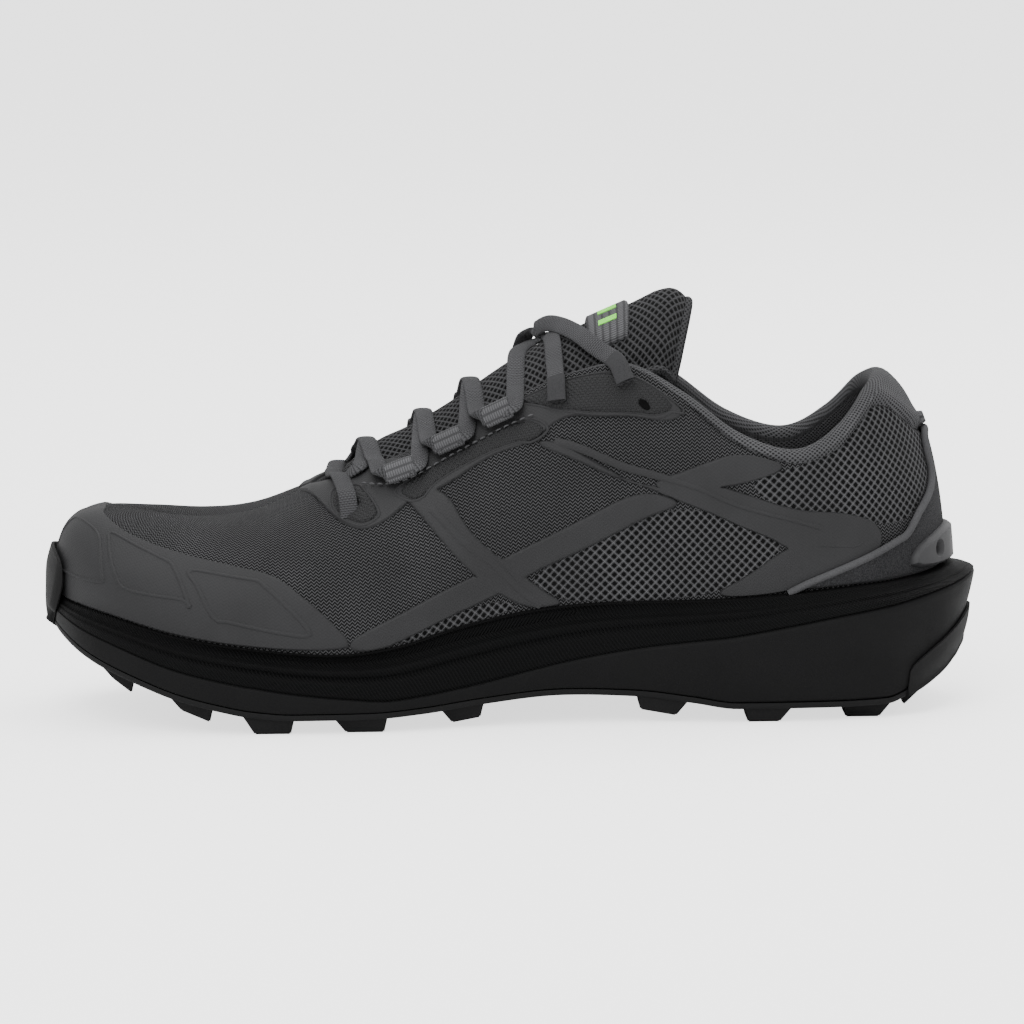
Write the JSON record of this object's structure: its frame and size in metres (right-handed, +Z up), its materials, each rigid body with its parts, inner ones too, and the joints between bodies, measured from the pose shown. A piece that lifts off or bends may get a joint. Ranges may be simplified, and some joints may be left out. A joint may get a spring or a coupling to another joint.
{
  "type": "trail running shoe",
  "caption": "Low trail running shoe with a knit upper, fused films, webbing lace loops, a padded collar and a lugged rubber sole.",
  "frame": {"origin": "middle of the shoe's outline, on the floor that its lugs stand on", "axes": "+X from the toe to the heel, +Y to the outer side of the foot, +Z up"},
  "size_m": [0.3004, 0.1088, 0.1349],
  "materials": {
    "knit": "matte",
    "liner": "matte",
    "tongue_mesh": "matte",
    "foam": "satin",
    "rubber": "satin",
    "film": "satin",
    "suede": "matte",
    "webbing": "matte",
    "lace": "matte"
  },
  "bodies": {
    "root": {"upper": "knit", "midsole": "foam", "outsole": "rubber", "insole": "liner", "tongue": "tongue_mesh", "toe_film": "film", "side_film_medial": "film", "side_film_lateral": "film", "heel_counter": "suede", "gaiter_tab": "rubber", "heel_tab": "webbing", "lace_keeper": "webbing", "lace_bar": "lace", "lace_cross_1": "lace", "lace_cross_2": "lace", "lace_cross_3": "lace", "lace_cross_4": "lace", "lace_loop_medial_1": "webbing", "lace_loop_medial_2": "webbing", "lace_loop_medial_3": "webbing", "lace_loop_lateral_1": "webbing", "lace_loop_lateral_2": "webbing", "lace_loop_lateral_3": "webbing", "lace_end_a": "lace", "lace_end_b": "lace"}
  },
  "joints": []
}
